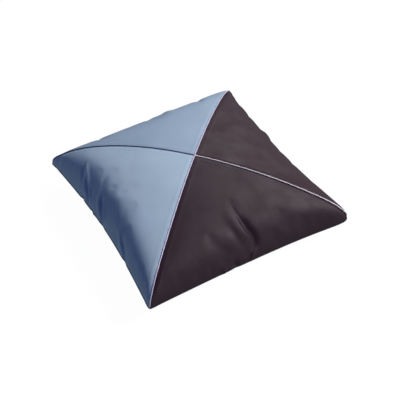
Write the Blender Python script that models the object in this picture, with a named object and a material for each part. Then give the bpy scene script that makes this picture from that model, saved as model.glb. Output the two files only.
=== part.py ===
"""Throw cushion, square and knife edged, lying on its back.

The front is cut as four triangles that meet at the centre, two blue-grey and two dark brown.
Corded piping is sewn into the seams between them: lilac along the whole of one diagonal, pink
and navy along the two halves of the other. The back is one dark panel, seamed to the front
round a thin rim, and it is flat where it rests.

Metres, +Z up through the crown, +X and +Y along two of the sides. The origin is on the surface
that the cushion rests on, under its centre. A place on the front is given by u and v, which run
from -1 to 1 between opposite sides.
"""
from collections import namedtuple

import bmesh
import bpy
import numpy as np

# Overall size
HALF_SIDE = 0.240          # from the centre to the outer rim, measured at the corners
SEAM_HEIGHT = 0.055        # edge seam above the surface that the cushion rests on
CROWN = 0.099              # centre of the front above the edge seam

# How full the crown is: its height follows a plateau that rounds off towards the sides
PLATEAU = 2.3              # higher makes the middle flatter
SHOULDER = 0.14            # lower makes the walls steeper
FOOT = 0.08                # higher makes the walls leave the seam less steeply
CORNER_FILL = 1.18         # higher fills the corners more

# Cloth and seams
CLOTH = 0.0015             # thickness of a front panel
GAP = 0.0003               # clearance between neighbouring pieces
RIM_OUT = 0.0012           # how far the seam rim stands out past the front panels
RIM_THICK = 0.0016         # thickness of the seam rim
PIPING_RADIUS = 0.00125
PIPING_LIFT = 0.0003       # centre of the piping above the cloth's outer face
PIPING_END = 0.0022        # the piping stops this far inside a corner, in plan
PIPING_ROOM = PIPING_RADIUS + GAP
CORNER_ROOM = 0.45         # share more of it at a corner, where the panels lean in most
ROOM_SHARPNESS = 8         # higher keeps that nearer the corner

# Underside
REST_HALF = 0.140          # half the width of the flat patch that it rests on
REST_SQUARENESS = 4        # 2 would be round, higher is squarer
UNDERSIDE_RINGS = (0.10, 0.25, 0.45, 0.70, 1.0)

# Fineness of the front: a panel's grid has rows across it, crowded towards the side, and each
# row out from the centre has a few more cells than the one before
ROWS = 14
CROWDING = 0.80
SPREAD = 2                 # cells that a row gains at each end
STEP = 1e-3                # step in u and v for measuring slopes
FOLD_ROUNDINGS = 3         # times that the bends of a fold's path are cut off
FOLD_STEPS = 12            # points along a fold's path
FOLD_ENDS = 0.04           # share of a fold's path by which its depth starts short of nothing
FOLD_REACH = 3             # half widths past which a fold no longer counts
NARROWEST_FOLD = 0.0062    # least half width, which the grid can carry
HEART = np.array([0.0, 0.0, -0.05])  # outward is away from here, for telling a fold's sides
SEARCH_ROUNDS = 12         # rounds for finding the u, v of a plan place
SHARP_EDGE = np.radians(60)

# Each side is drawn in towards its middle, and rises or dips there. Its two ends, the one
# towards -1 first, are drawn in a little more, or less, near the corner.
Side = namedtuple("Side", "drawn_in raised low_end high_end")
RIGHT = Side(0.0150, -0.006, -0.0016, 0.0016)
REAR = Side(0.0152, 0.008, 0.0030, 0.0000)
LEFT = Side(0.0160, 0.0085, 0.0006, 0.0023)
FRONT = Side(0.0128, -0.008, 0.0016, -0.0030)
END_REACH = 0.12           # the ends are pinched most at this distance from a corner, in u or v

# Each corner stands a little high or low, and its tip is rounded by being pulled in
Corner = namedtuple("Corner", "x y raised pulled_in")
CORNERS = (
    Corner(1, 1, 0.0030, 0.0022),
    Corner(1, -1, -0.0015, 0.0040),
    Corner(-1, -1, 0.0020, 0.0022),
    Corner(-1, 1, -0.0025, 0.0042),
)
TIP_SHARPNESS = 20         # higher keeps the rounding nearer the tip

# Folds of the filled front, in plan: each runs through its places. The depth is the deepest
# point below the smooth cushion, negative where the cloth stands up. A fold that leans is
# narrower on its left, seen along its path, where lean is negative, and wider on its right.
Fold = namedtuple("Fold", "places half_width depth lean", defaults=(0.0,))
FOLDS = (
    # The deep crease of the front panel, where the cloth rolls over from the left
    Fold(((0.004, -0.175), (0.006, -0.193), (0.015, -0.205), (0.017, -0.212),
          (0.010, -0.221)), 0.0062, 0.0045, 0.42),
    Fold(((0.001, -0.146), (0.003, -0.165), (0.005, -0.182)), 0.0040, 0.0009, 0.20),
    Fold(((0.010, -0.178), (0.018, -0.194)), 0.0080, 0.0007),
    Fold(((-0.012, -0.161), (-0.008, -0.184), (0.000, -0.202)), 0.0120, -0.0010),
    Fold(((0.002, -0.227), (0.009, -0.224), (0.017, -0.221)), 0.0045, -0.0024),
    # Softer dents in the front panel, towards the left corner
    Fold(((-0.027, -0.182), (-0.017, -0.203), (-0.004, -0.223)), 0.0090, 0.0008),
    Fold(((-0.076, -0.188), (-0.062, -0.205), (-0.033, -0.220)), 0.0100, 0.0007),
    # The creases of the left panel, each with a ridge beside it
    Fold(((-0.196, 0.130), (-0.209, 0.116), (-0.218, 0.107)), 0.0046, 0.0026),
    Fold(((-0.194, 0.122), (-0.204, 0.100), (-0.215, 0.074), (-0.222, 0.056)), 0.0046, -0.0032),
    Fold(((-0.206, 0.106), (-0.215, 0.090), (-0.223, 0.069)), 0.0052, 0.0058),
    Fold(((-0.205, 0.030), (-0.216, 0.015), (-0.224, 0.000)), 0.0050, 0.0044),
    Fold(((-0.205, 0.022), (-0.216, 0.006), (-0.224, -0.009)), 0.0050, -0.0020),
    Fold(((-0.203, 0.045), (-0.214, 0.031), (-0.222, 0.017)), 0.0052, -0.0028),
    # Short dents along the left panel's shoulder
    Fold(((-0.176, 0.060), (-0.188, 0.052), (-0.199, 0.046)), 0.0078, 0.0013),
    Fold(((-0.173, 0.026), (-0.184, 0.020)), 0.0085, 0.0011),
    Fold(((-0.164, 0.000), (-0.178, -0.007)), 0.0085, 0.0010),
    Fold(((-0.180, -0.042), (-0.192, -0.050), (-0.202, -0.058)), 0.0080, 0.0008),
    # Gathers where the left panel meets the rim
    Fold(((-0.212, -0.064), (-0.219, -0.081), (-0.225, -0.097)), 0.0060, -0.0018),
    Fold(((-0.214, -0.080), (-0.220, -0.094), (-0.224, -0.103)), 0.0075, 0.0032),
    Fold(((-0.223, 0.094), (-0.226, 0.088)), 0.0085, 0.0016),
    Fold(((-0.224, 0.048), (-0.226, 0.045)), 0.0050, 0.0018),
    Fold(((-0.224, 0.036), (-0.226, 0.034)), 0.0060, -0.0016),
    Fold(((-0.223, -0.008), (-0.226, -0.010)), 0.0070, 0.0016),
    Fold(((-0.223, 0.215), (-0.232, 0.212), (-0.237, 0.210)), 0.0060, 0.0014),
    # Gathers of the front panel's rim
    Fold(((-0.036, -0.222), (-0.035, -0.227)), 0.0090, 0.0018),
    Fold(((-0.063, -0.224), (-0.061, -0.229)), 0.0085, -0.0010),
    # Gathers and soft rolls of the right panel
    Fold(((0.199, 0.118), (0.220, 0.120), (0.230, 0.120)), 0.0110, 0.0032),
    Fold(((0.198, 0.042), (0.216, 0.042), (0.226, 0.042)), 0.0110, -0.0034),
    Fold(((0.200, -0.018), (0.215, -0.020), (0.225, -0.022)), 0.0080, 0.0026),
    Fold(((0.198, -0.064), (0.216, -0.068), (0.227, -0.071)), 0.0085, 0.0028),
    # Gathers and soft rolls of the rear panel
    Fold(((-0.126, 0.181), (-0.132, 0.204), (-0.135, 0.223)), 0.0085, 0.0022),
    Fold(((-0.008, 0.178), (-0.009, 0.200), (-0.010, 0.218)), 0.0090, 0.0014),
    Fold(((0.038, 0.176), (0.040, 0.200), (0.042, 0.219)), 0.0120, -0.0020),
    Fold(((0.121, 0.182), (0.124, 0.206), (0.127, 0.223)), 0.0085, 0.0022),
    # The filling stands fuller along the left panel's shoulder, and a little along the front's
    Fold(((-0.206, 0.172), (-0.187, 0.122), (-0.180, 0.059), (-0.180, 0.000),
          (-0.189, -0.060), (-0.200, -0.120), (-0.214, -0.175)), 0.0340, -0.0062),
    Fold(((-0.170, -0.216), (-0.090, -0.205), (0.000, -0.195), (0.079, -0.192),
          (0.139, -0.199), (0.200, -0.214)), 0.0180, -0.0022),
    # beside the navy and the pink seam, and under the far half of the lilac one
    Fold(((-0.115, 0.065), (-0.160, 0.108), (-0.198, 0.150)), 0.0300, -0.0030),
    Fold(((0.105, -0.075), (0.155, -0.118), (0.200, -0.160)), 0.0280, -0.0018),
    Fold(((0.050, 0.056), (0.110, 0.118), (0.180, 0.186)), 0.0300, -0.0014),
    # It is flatter at the rear towards the left corner and beside the rear corner
    Fold(((-0.195, 0.219), (-0.139, 0.200), (-0.069, 0.191), (-0.010, 0.188)), 0.0260, 0.0030),
    Fold(((0.230, 0.206), (0.222, 0.181), (0.214, 0.150)), 0.0200, 0.0024),
)

# Colours are linear red, green, blue
Finish = namedtuple("Finish", "colour roughness")
BLUE_CLOTH = Finish((0.33, 0.43, 0.59), 0.55)
DARK_CLOTH = Finish((0.070, 0.052, 0.060), 0.55)
BACK_CLOTH = Finish((0.045, 0.034, 0.040), 0.65)
LILAC_CORD = Finish((0.60, 0.56, 0.74), 0.45)
PINK_CORD = Finish((0.66, 0.58, 0.64), 0.45)
NAVY_CORD = Finish((0.030, 0.052, 0.110), 0.50)

# The front panels, each a quarter turn on from the one before, starting at +X
Panel = namedtuple("Panel", "name finish")
PANELS = (
    Panel("panel_dark_side", DARK_CLOTH),
    Panel("panel_blue_rear", BLUE_CLOTH),
    Panel("panel_blue_side", BLUE_CLOTH),
    Panel("panel_dark_front", DARK_CLOTH),
)

# The front panels' outer edge: the rim stands out past it, and the tips are pulled in from it
SEAM_HALF = HALF_SIDE - RIM_OUT + CORNERS[0].pulled_in


def pulled_from(side, t):
    """How far a side is drawn in from the square, along it from -1 to 1."""
    from_low = (1 + t) / END_REACH
    from_high = (1 - t) / END_REACH
    low_pinch = side.low_end * from_low * np.exp(1 - from_low)
    high_pinch = side.high_end * from_high * np.exp(1 - from_high)
    return side.drawn_in * (1 - t * t) + low_pinch + high_pinch


def plan(u, v):
    """Plan place of the front at u, v: drawn-in sides and rounded tips."""
    x = u * (SEAM_HALF - np.where(u > 0, pulled_from(RIGHT, v), pulled_from(LEFT, v)))
    y = v * (SEAM_HALF - np.where(v > 0, pulled_from(REAR, u), pulled_from(FRONT, u)))
    for corner in CORNERS:
        near = (np.clip(u * corner.x, 0, 1) * np.clip(v * corner.y, 0, 1)) ** TIP_SHARPNESS
        x = x - corner.x * corner.pulled_in * near
        y = y - corner.y * corner.pulled_in * near
    return x, y


def seam_level(u, v):
    """Height of the edge seam, carried across the whole plan."""
    height = SEAM_HEIGHT
    for corner in CORNERS:
        height = height + corner.raised * (1 + corner.x * u) * (1 + corner.y * v) / 4
    height = height + (1 - v * v) * ((1 + u) * RIGHT.raised + (1 - u) * LEFT.raised) / 2
    height = height + (1 - u * u) * ((1 + v) * REAR.raised + (1 - v) * FRONT.raised) / 2
    return height


def crown(u, v):
    """Fullness of the filling, 0 at the edge seam and 1 at the centre."""
    across = 1 - np.abs(u) ** PLATEAU
    along = 1 - np.abs(v) ** PLATEAU
    either = np.clip(across + along - across * along, 1e-9, None)
    full = across * along / either ** CORNER_FILL
    low = FOOT ** SHOULDER
    high = (1 + FOOT) ** SHOULDER
    return ((full + FOOT) ** SHOULDER - low) / (high - low)


def smooth_front(u, v):
    """The front's outer face without its folds."""
    x, y = plan(u, v)
    z = seam_level(u, v) + CROWN * crown(u, v)
    return np.stack([x, y, z], axis=-1)


def facing(surface, u, v):
    """Unit normals of a surface of u and v, pointing out of the cushion."""
    u, v = np.clip(u, STEP - 1, 1 - STEP), np.clip(v, STEP - 1, 1 - STEP)
    across = surface(u + STEP, v) - surface(u - STEP, v)
    along = surface(u, v + STEP) - surface(u, v - STEP)
    normal = np.cross(across, along)
    return normal / np.linalg.norm(normal, axis=-1, keepdims=True)


def front_above(x, y):
    """The place on the smooth front that lies over the plan place x, y."""
    u, v = x / SEAM_HALF, y / SEAM_HALF
    for _ in range(SEARCH_ROUNDS):
        reached_x, reached_y = plan(u, v)
        u = np.clip(u + (x - reached_x) / SEAM_HALF, -1, 1)
        v = np.clip(v + (y - reached_y) / SEAM_HALF, -1, 1)
    return smooth_front(u, v)


def fold_path(fold):
    """Evenly spaced points along a fold, on the smooth front, with its bends rounded off."""
    places = np.array(fold.places)
    for _ in range(FOLD_ROUNDINGS):
        early = 0.75 * places[:-1] + 0.25 * places[1:]
        late = 0.25 * places[:-1] + 0.75 * places[1:]
        between = np.stack([early, late], axis=1).reshape(-1, 2)[1:-1]
        places = np.vstack([places[:1], between, places[-1:]])
    steps = np.linalg.norm(np.diff(places, axis=0), axis=1)
    run = np.concatenate([[0.0], np.cumsum(steps)])
    stops = np.linspace(0.0, run[-1], FOLD_STEPS)
    return front_above(np.interp(stops, run, places[:, 0]), np.interp(stops, run, places[:, 1]))


FOLD_PATHS = [fold_path(fold) for fold in FOLDS]


def one_fold(fold, path, points):
    """How far one fold presses a list of points in."""
    nearest = np.full(len(points), np.inf)
    strength = np.zeros(len(points))
    side = np.zeros(len(points))
    outward_from_heart = points - HEART
    for index in range(FOLD_STEPS - 1):
        run = path[index + 1] - path[index]
        along = np.clip((points - path[index]) @ run / (run @ run), 0, 1)
        away = points - path[index] - along[:, None] * run
        distance = np.linalg.norm(away, axis=1)
        closer = distance < nearest
        nearest = np.where(closer, distance, nearest)
        passed = (index + along) / (FOLD_STEPS - 1)
        swell = np.sqrt(np.sin(np.pi * (FOLD_ENDS + (1 - 2 * FOLD_ENDS) * passed)))
        strength = np.where(closer, swell, strength)
        across = (np.cross(run, away) * outward_from_heart).sum(axis=1)
        size = np.linalg.norm(run) * np.linalg.norm(outward_from_heart, axis=1)
        side = np.where(closer, across / (size * np.maximum(distance, 1e-9)), side)
    width = np.maximum(fold.half_width * (1 + fold.lean * side), NARROWEST_FOLD)
    return fold.depth * strength * np.exp(-(nearest / width) ** 2)


def fold_depth(points):
    """How far the folds press each point of the smooth front in."""
    depth = np.zeros(points.shape[:-1])
    for fold, path in zip(FOLDS, FOLD_PATHS):
        widest = max(fold.half_width * (1 + abs(fold.lean)), NARROWEST_FOLD)
        reach = FOLD_REACH * widest
        near = (points > path.min(axis=0) - reach) & (points < path.max(axis=0) + reach)
        close = near.all(axis=-1)
        depth[close] += one_fold(fold, path, points[close])
    return depth


def front(u, v):
    """The front's outer face, with its folds."""
    smooth = smooth_front(u, v)
    return smooth - fold_depth(smooth)[..., None] * facing(smooth_front, u, v)


def front_layer(places, depth):
    """Points below the outer face by depth, at a list of u, v places."""
    u, v = np.array(places, dtype=float).T
    return front(u, v) - depth * facing(front, u, v)


def row_at(row):
    """Distance of a row from the centre, in u or v."""
    t = row / ROWS
    return (1 - CROWDING) * t + CROWDING * np.sin(np.pi / 2 * t)


def turned(u, v, quarter):
    """A place of the right-hand panel, turned to the panel that is quarter turns on."""
    for _ in range(quarter):
        u, v = -v, u
    return u, v


def panel_row(row):
    """Grid places of one row of a panel, from one diagonal to the other."""
    return [(row, column) for column in range(-SPREAD * row, SPREAD * row + 1)]


def panel_places():
    """All grid places of a panel."""
    return [place for row in range(ROWS + 1) for place in panel_row(row)]


def row_strip(inner, outer):
    """Triangles between two neighbouring rows, facing up."""
    triangles = []
    a = b = 0
    while a + b < len(inner) + len(outer) - 2:
        inner_done = a == len(inner) - 1
        if inner_done or (b + 1) * (len(inner) - 1) <= (a + 1) * (len(outer) - 1):
            triangles.append((inner[a], outer[b], outer[b + 1]))
            b += 1
        else:
            triangles.append((inner[a], outer[b], inner[a + 1]))
            a += 1
    return triangles


def panel_triangles():
    """All triangles of a panel's grid."""
    strips = [row_strip(panel_row(row), panel_row(row + 1)) for row in range(ROWS)]
    return [triangle for strip in strips for triangle in strip]


def panel_border():
    """A panel's border: out along one diagonal, along the rim, and back."""
    out = [panel_row(row)[0] for row in range(ROWS)]
    back = [panel_row(row)[-1] for row in range(ROWS - 1, 0, -1)]
    return out + panel_row(ROWS) + back


def grid_place(place, quarter):
    """u, v of a grid place on the panel that is quarter turns on from the right-hand one."""
    row, column = place
    u = row_at(row)
    v = u * column / (SPREAD * max(row, 1))
    return turned(u, v, quarter)


def cut_place(place, quarter):
    """The same, with the diagonal edges standing back to leave the piping room."""
    row, column = place
    u, v = grid_place(place, 0)
    room = PIPING_ROOM * (1 + CORNER_ROOM * u ** ROOM_SHARPNESS)
    back = room / (np.sqrt(2) * SEAM_HALF)
    if row == 0:
        u = 2 * back
    elif abs(column) == SPREAD * row:
        inward = 2 * back if row == ROWS else back
        u = min(u + back, 1.0)
        v = v - np.sign(column) * inward
    return turned(u, v, quarter)


def shared_name(place, quarter):
    """One name for each grid place: neighbouring panels share a diagonal, and all the centre."""
    row, column = place
    if row == 0:
        return 0, 0, 0
    if column == SPREAD * row:
        return row, -column, (quarter + 1) % len(PANELS)
    return row, column, quarter


def outward(u, v):
    """Plan direction away from the cushion at a rim place; both ways at a corner."""
    return np.array([np.sign(c) if abs(c) > 1 - STEP else 0.0 for c in (u, v)] + [0.0])


def cloth_material(name, finish):
    """A plain cloth finish of its own for one piece."""
    material = bpy.data.materials.new(name)
    material.use_nodes = True
    shader = material.node_tree.nodes["Principled BSDF"]
    shader.inputs["Base Color"].default_value = (*finish.colour, 1.0)
    shader.inputs["Roughness"].default_value = finish.roughness
    shader.inputs["Metallic"].default_value = 0.0
    material.diffuse_color = (*finish.colour, 1.0)
    return material


def add_mesh(name, points, faces, finish):
    """One closed mesh object, shaded smooth except at its thin edges."""
    mesh = bpy.data.meshes.new(name)
    work = bmesh.new()
    corners = [work.verts.new(tuple(point)) for point in points]
    for face in faces:
        work.faces.new([corners[index] for index in face])
    bmesh.ops.recalc_face_normals(work, faces=work.faces)
    work.to_mesh(mesh)
    work.free()
    mesh.shade_smooth()
    mesh.set_sharp_from_angle(angle=SHARP_EDGE)
    piece = bpy.data.objects.new(name, mesh)
    piece.data.materials.append(cloth_material(name, finish))
    bpy.context.scene.collection.objects.link(piece)


def front_panel(panel, quarter):
    """A triangle of cloth with its real thickness, curved over the filling."""
    places = panel_places()
    number = {place: index for index, place in enumerate(places)}
    cut = [cut_place(place, quarter) for place in places]
    points = np.vstack([front_layer(cut, 0.0), front_layer(cut, CLOTH)])
    under = len(places)
    faces = []
    for a, b, c in panel_triangles():
        faces.append((number[a], number[b], number[c]))
        faces.append((number[c] + under, number[b] + under, number[a] + under))
    border = [number[place] for place in panel_border()]
    for here, after in zip(border, border[1:] + border[:1]):
        faces.append((here, here + under, after + under))
        faces.append((here, after + under, after))
    add_mesh(panel.name, points, faces, panel.finish)


def cushion_body():
    """The filled cushion: its crown under the panels, its rim and its dark back."""
    quarters = range(len(PANELS))
    places = {}
    for quarter in quarters:
        for place in panel_places():
            if place[0] < ROWS:
                places[shared_name(place, quarter)] = grid_place(place, quarter)
    number = {name: index for index, name in enumerate(places)}
    under_panels = front_layer(list(places.values()), CLOTH + GAP)

    # The rim: a ledge under the panels' edges, then the edge of the seam
    rim = {}
    for quarter in quarters:
        for place in panel_row(ROWS)[:-1]:
            rim[shared_name(place, quarter)] = grid_place(place, quarter)
    first = len(places)
    number.update({name: first + index for index, name in enumerate(rim)})
    seam = front_layer(list(rim.values()), 0.0)
    away = np.array([outward(u, v) for u, v in rim.values()])
    down = np.array([0.0, 0.0, -1.0])
    ledge = seam - (CLOTH + GAP) * away + (CLOTH / 2) * down
    edge_top = seam + RIM_OUT * away + (CLOTH / 2) * down
    edge_low = edge_top + RIM_THICK * down

    # The underside: rings that run in from the rim and down to the flat patch
    direction = np.array([(u, v, 0.0) for u, v in rim.values()])
    reach = (np.abs(direction) ** REST_SQUARENESS).sum(axis=1, keepdims=True) ** (1 / REST_SQUARENESS)
    patch = direction / reach * REST_HALF
    rings = [ledge, edge_top, edge_low]
    for share in UNDERSIDE_RINGS:
        ring = edge_low * (1 - share) + patch * share
        ring[:, 2] = edge_low[:, 2] * (1 - share) ** 2
        rings.append(ring)

    faces = []
    for quarter in quarters:
        for triangle in panel_triangles():
            faces.append([number[shared_name(place, quarter)] for place in triangle])
    around = len(rim)
    for ring in range(len(rings) - 1):
        start = first + ring * around
        for here in range(around):
            a = start + here
            b = start + (here + 1) % around
            faces.append((a, a + around, b + around))
            faces.append((a, b + around, b))
    last = first + (len(rings) - 1) * around
    faces.append([last + here for here in reversed(range(around))])
    add_mesh("cushion_body", np.vstack([under_panels] + rings), faces, BACK_CLOTH)


def diagonal_run(start, end):
    """Distances along a diagonal from start to end, stopping at each row of the grid between."""
    rows = [side * row_at(row) for side in (-1, 1) for row in range(ROWS)]
    clear = PIPING_RADIUS / SEAM_HALF
    inside = sorted({t for t in rows if start + clear < t < end - clear})
    return np.array([start] + inside + [end])


def piping(name, run, slant, finish):
    """A covered cord that lies in a diagonal seam; slant is the sign of v along it."""
    u, v = run, run * slant
    points = front(u, v) + PIPING_LIFT * facing(front, u, v)
    curve = bpy.data.curves.new(name, "CURVE")
    curve.dimensions = "3D"
    curve.bevel_depth = PIPING_RADIUS
    curve.bevel_resolution = 2
    curve.use_fill_caps = True
    spline = curve.splines.new("POLY")
    spline.points.add(len(points) - 1)
    for place, point in zip(spline.points, points):
        place.co = (*point, 1.0)
    curve.materials.append(cloth_material(name, finish))
    bpy.context.scene.collection.objects.link(bpy.data.objects.new(name, curve))


def build():
    """Clear the scene and make every piece."""
    for old in list(bpy.data.objects):
        bpy.data.objects.remove(old, do_unlink=True)
    cushion_body()
    for quarter, panel in enumerate(PANELS):
        front_panel(panel, quarter)
    tip = 1 - PIPING_END / SEAM_HALF
    middle = PIPING_ROOM / (np.sqrt(2) * SEAM_HALF)
    piping("piping_lilac", diagonal_run(-tip, tip), 1, LILAC_CORD)
    piping("piping_pink", diagonal_run(middle, tip), -1, PINK_CORD)
    piping("piping_navy", diagonal_run(-tip, -middle), -1, NAVY_CORD)


build()
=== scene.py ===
"""The looks of a square throw cushion: four cloth panels, three pipings and the filled back.

Every piece is made from one surface, the front of the filled cushion, which is a function of u
and v. They run from -1 to 1 between opposite sides of the cover. Metres, +Z up.
"""

from collections import namedtuple

import bmesh
import bpy
import numpy as np
from mathutils import Matrix, Vector


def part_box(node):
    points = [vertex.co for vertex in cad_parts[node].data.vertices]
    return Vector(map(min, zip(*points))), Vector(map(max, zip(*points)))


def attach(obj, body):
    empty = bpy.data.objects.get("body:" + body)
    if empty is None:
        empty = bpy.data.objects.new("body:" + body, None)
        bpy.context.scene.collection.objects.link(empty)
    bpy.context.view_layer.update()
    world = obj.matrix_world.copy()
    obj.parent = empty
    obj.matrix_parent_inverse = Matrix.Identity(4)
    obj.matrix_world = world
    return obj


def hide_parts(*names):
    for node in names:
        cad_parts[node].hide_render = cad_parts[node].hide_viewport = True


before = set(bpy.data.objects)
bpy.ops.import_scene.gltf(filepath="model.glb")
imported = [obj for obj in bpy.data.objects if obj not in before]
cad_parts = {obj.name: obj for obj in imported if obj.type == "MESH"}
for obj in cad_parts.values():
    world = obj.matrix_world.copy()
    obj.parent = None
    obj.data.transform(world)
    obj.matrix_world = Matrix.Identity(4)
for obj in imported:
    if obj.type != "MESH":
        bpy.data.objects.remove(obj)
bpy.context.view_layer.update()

# Sizes of the cushion, as in its solids
SEAM_HEIGHT = 0.055        # edge seam above the surface that the cushion rests on
CROWN = 0.099              # centre of the front above the edge seam
PLATEAU = 2.3              # higher makes the middle flatter
SHOULDER = 0.14            # lower makes the walls steeper
FOOT = 0.08                # higher makes the walls leave the seam less steeply
CORNER_FILL = 1.18         # higher fills the corners more
RIM_OUT = 0.0012           # how far the seam rim stands out past the front panels
RIM_RADIUS = 0.0008        # half the thickness of the seam rim
REST_HALF = 0.140          # half the width of the flat patch that it rests on
REST_SQUARENESS = 4        # 2 would be round, higher is squarer

# Cloth and piping
CLOTH = 0.0014             # thickness of a front panel
UNDER_CLOTH = 0.0019       # the filling's face below the panels' outer face
PIPING_RADIUS = 0.00125
PIPING_GAP = 0.0001        # between the cord and the cloth beside it
PIPING_ROOM = PIPING_RADIUS + PIPING_GAP
PIPING_LIFT = 0.0006       # centre of the cord above the cloth's outer face
PIPING_SINK = 0.3          # the cord follows its groove down by this share
PIPING_CATCH = 0.0035      # over this length at a corner the cord is drawn into the edge seam
PIPING_DROP = 0.0007       # how far it sinks there
PIPING_PINCH = 0.30        # and how much thinner it gets
PIPING_STOP = 0.0001       # the lilac and navy cords stop this far inside a side, in plan
PINK_STOP = 0.0025         # and the pink one this far
PIPING_POINT = 0.02        # square of the share of its radius to which a cord's end closes
SLOT_CLOSING = 0.35        # share of the cord's room that the panels take back at a corner

# The cloth turns down beside the piped seams, shows the seam allowance and gathers a little
GROOVE_WIDTH = 0.0033      # at the pink and navy cords
LILAC_GROOVE_WIDTH = 0.0021
LILAC_GROOVE = 0.0010      # depths
PINK_GROOVE = 0.0021
NAVY_GROOVE = 0.0004
GROOVE_FADE = 0.012        # grooves get shallower within this distance of a corner
GROOVE_LEAST = 0.2         # but keep this share of their depth
ALLOWANCE_AWAY = 0.010     # the seam allowance ends this far from the cord, below the cloth
ALLOWANCE_WIDTH = 0.0032
ALLOWANCE_RISE = 0.0003
GATHER_RISE = 0.00007      # height of each wave
GATHER_WIDTH = 0.009       # the waves fade at this distance from the cord
GATHER_LENGTHS = (0.0137, 0.0211, 0.0312)
GATHER_PHASE = 5           # radians from one length's waves to the next's
GATHER_SHIFT = 0.004       # the waves move this far along the seam, one way on each side of it
GATHER_CROSSING = 0.012    # within this much of u - v, or u + v, they change sides
MIDDLE_FADE = 0.12         # within this much of the other of the two, all fades to the centre

# The sheet whose simulation gives the small puckers
SHEET_CELLS = 120
SHEET_CROWDING = 0.35      # share by which its threads crowd towards the sides
SHEET_FRAMES = 26
SHEET_PRESSURE = 4.0
SHEET_BENDING = 20.0
SHEET_SHRINK = -0.006      # negative: the cloth is cut this share larger than the filling's surface
SHEET_SLACK = 0.002        # the sheet starts this far inside the filling's surface
SLACK_SQUARENESS = 8       # higher carries the slack closer to the rim
PUCKER_REACH = 6           # cells; only what is smaller than this counts as a pucker
PUCKER_SPREAD = 3          # times that reach, past which a cell no longer counts
PUCKER_SHARE = 0.45        # share of a pucker's height that is kept
PUCKER_MOST = 0.0011       # greatest height of a pucker
RIM_FADE = 0.03            # puckers fade out over this share of the half width at the rim

# Fineness
PANEL_ROWS = 160
BODY_ROWS = 80
CROWDING = 0.5             # share by which the rows crowd towards the sides
STEP = 1e-3                # step in u and v for measuring slopes
TINY = 1e-12               # least divisor, where a length may be nothing
MATCHING = 6               # decimals of u and v that tell which points two quarters share
SEARCH_ROUNDS = 12         # rounds for finding the u, v of a plan place
FOLD_ROUNDINGS = 3         # times that the bends of a fold's path are cut off
FOLD_CUT = 0.25            # share of a stretch that is cut off at each of its ends
FOLD_STEPS = 12            # points along a fold's path
FOLD_ENDS = 0.04           # share of a fold's path by which its depth starts short of nothing
FOLD_REACH = 3             # half widths past which a fold no longer counts
HEART = np.array([0.0, 0.0, -0.05])  # outward is away from here, for telling a fold's sides
UP = np.array([0.0, 0.0, 1.0])
RIM_STEPS = 6
UNDERSIDE_STEPS = 26
UNDERSIDE_CROWDING = 1.3   # higher crowds the underside's rings towards the rim
PIPING_SIDES = 14
PIPING_CROWDING = 0.6      # share by which a cord's sections crowd towards its ends
SHARP_EDGE = np.radians(60)

# Each side is drawn in towards its middle, and rises or dips there. Its two ends, the one
# towards -1 first, are drawn in a little more, or less, near the corner.
Side = namedtuple("Side", "drawn_in raised low_end high_end")
RIGHT = Side(0.0150, -0.006, -0.0016, 0.0016)
REAR = Side(0.0152, 0.008, 0.0030, 0.0000)
LEFT = Side(0.0160, 0.0085, 0.0006, 0.0023)
FRONT = Side(0.0128, -0.008, 0.0016, -0.0030)
END_REACH = 0.12           # the ends are pinched most at this distance from a corner, in u or v

# Each corner stands a little high or low, and its tip is rounded and pulled in
Corner = namedtuple("Corner", "x y raised pulled_in")
CORNERS = (
    Corner(1, 1, 0.0030, 0.0022),
    Corner(1, -1, -0.0015, 0.0040),
    Corner(-1, -1, 0.0020, 0.0022),
    Corner(-1, 1, -0.0025, 0.0030),
)
TIP_SHARPNESS = 20         # higher keeps the pull nearer the tip
TIP_ROUND = 0.0055         # radius of the corners in plan

# From the centre to the rear corners' rim: the rear side stands out past them nowhere
HALF_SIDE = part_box("cushion_body")[1][1]
SEAM_HALF = HALF_SIDE - RIM_OUT + CORNERS[0].pulled_in

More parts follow.
